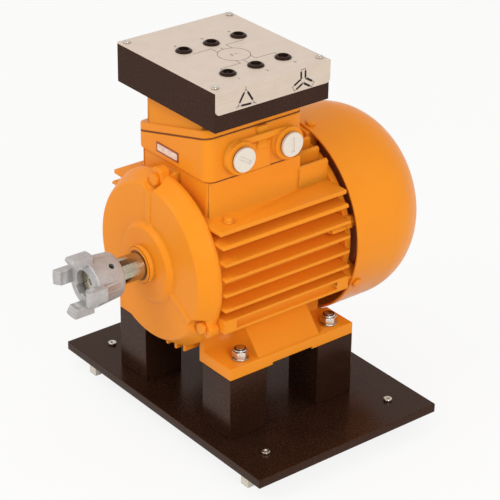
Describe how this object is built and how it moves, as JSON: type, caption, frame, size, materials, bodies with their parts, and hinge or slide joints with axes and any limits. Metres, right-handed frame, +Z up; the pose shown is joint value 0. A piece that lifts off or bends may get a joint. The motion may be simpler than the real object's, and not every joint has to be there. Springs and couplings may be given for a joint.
{
  "type": "demonstration electric motor",
  "caption": "Foot-mounted three-phase demonstration motor on a base plate with columns, with a jaw coupling on its shaft and a top box of safety sockets.",
  "frame": {"origin": "centre of the bounding box's bottom, at floor level under the two runners", "axes": "+Z up; the shaft lies along Y with its coupling towards -Y; the terminal plugs face +X"},
  "size_m": [0.292, 0.3414, 0.3528],
  "materials": {
    "orange_casting": "orange paint, semi-gloss, on a light alloy casting",
    "orange_steel": "orange paint, semi-gloss",
    "black_stand": "matt black",
    "white_runner": "off-white",
    "zinc_steel": "zinc plated",
    "shaft_steel": "turned",
    "bearing_steel": "ground",
    "hub_alloy": "cast and turned",
    "seal_rubber": "matt",
    "lamination": "stacked sheets",
    "winding_copper": "varnished wire",
    "rotor_alloy": "die cast",
    "fan_plastic": "moulded",
    "gasket_rubber": "matt",
    "board_plastic": "moulded",
    "terminal_brass": "plain",
    "plug_white": "satin white",
    "label_plain": "blank plate",
    "case_black": "fine grained black",
    "panel_silver": "silver sheet",
    "socket_black": "moulded black",
    "sleeve_plate": "nickel plated"
  },
  "bodies": {
    "motor": {"base_plate": "black_stand", "runner_left": "white_runner", "runner_right": "white_runner", "runner_screws": "zinc_steel", "column_front_left": "black_stand", "column_rear_left": "black_stand", "column_front_right": "black_stand", "column_rear_right": "black_stand", "foot_bolts": "zinc_steel", "plate_washers": "zinc_steel", "foot_washers": "zinc_steel", "foot_nuts": "zinc_steel", "stator_housing": "orange_casting", "flange_screws": "orange_steel", "drive_end_shield": "orange_casting", "rear_end_shield": "orange_casting", "drive_shield_screws": "orange_steel", "rear_shield_screws": "orange_steel", "front_bearing_outer_ring": "bearing_steel", "rear_bearing_outer_ring": "bearing_steel", "shaft_seal": "seal_rubber", "wave_washer": "bearing_steel", "stator_core": "lamination", "stator_windings": "winding_copper", "fan_cover": "orange_steel", "fan_cover_screws": "orange_steel", "terminal_box": "orange_casting", "box_gasket": "gasket_rubber", "lid_gasket": "gasket_rubber", "terminal_lid": "orange_casting", "lid_screws": "zinc_steel", "terminal_board": "board_plastic", "terminal_studs": "terminal_brass", "terminal_nuts": "terminal_brass", "blanking_plug_front": "plug_white", "blanking_plug_rear": "plug_white", "plug_seals": "gasket_rubber", "label_plate": "label_plain", "socket_box": "case_black", "socket_box_screws": "zinc_steel", "front_panel": "panel_silver", "panel_screws": "zinc_steel", "socket_bodies": "socket_black", "socket_sleeves": "sleeve_plate", "socket_nuts": "socket_black"},
    "rotor": {"shaft": "shaft_steel", "shaft_key": "shaft_steel", "coupling_hub": "hub_alloy", "hub_set_screw": "zinc_steel", "rotor_core": "lamination", "rotor_cage": "rotor_alloy", "fan": "fan_plastic", "fan_clip": "bearing_steel", "front_bearing_inner_ring": "bearing_steel", "rear_bearing_inner_ring": "bearing_steel"},
    "front_ball_set": {"front_bearing_balls": "bearing_steel", "front_bearing_cage": "lamination"},
    "rear_ball_set": {"rear_bearing_balls": "bearing_steel", "rear_bearing_cage": "lamination"}
  },
  "joints": [
    {"name": "rotor_spin", "type": "hinge", "parent": "motor", "child": "rotor", "pos_m": [0, 0, 0.175], "axis": [0, 1, 0], "continuous": true},
    {"name": "front_ball_set_spin", "type": "hinge", "parent": "motor", "child": "front_ball_set", "pos_m": [0, -0.08215, 0.175], "axis": [0, 1, 0], "continuous": true},
    {"name": "rear_ball_set_spin", "type": "hinge", "parent": "motor", "child": "rear_ball_set", "pos_m": [0, 0.06385, 0.175], "axis": [0, 1, 0], "continuous": true}
  ],
  "couplings": [
    {"joint": "front_ball_set_spin", "follows": "rotor_spin", "ratio": 0.39688},
    {"joint": "rear_ball_set_spin", "follows": "rotor_spin", "ratio": 0.39688}
  ]
}
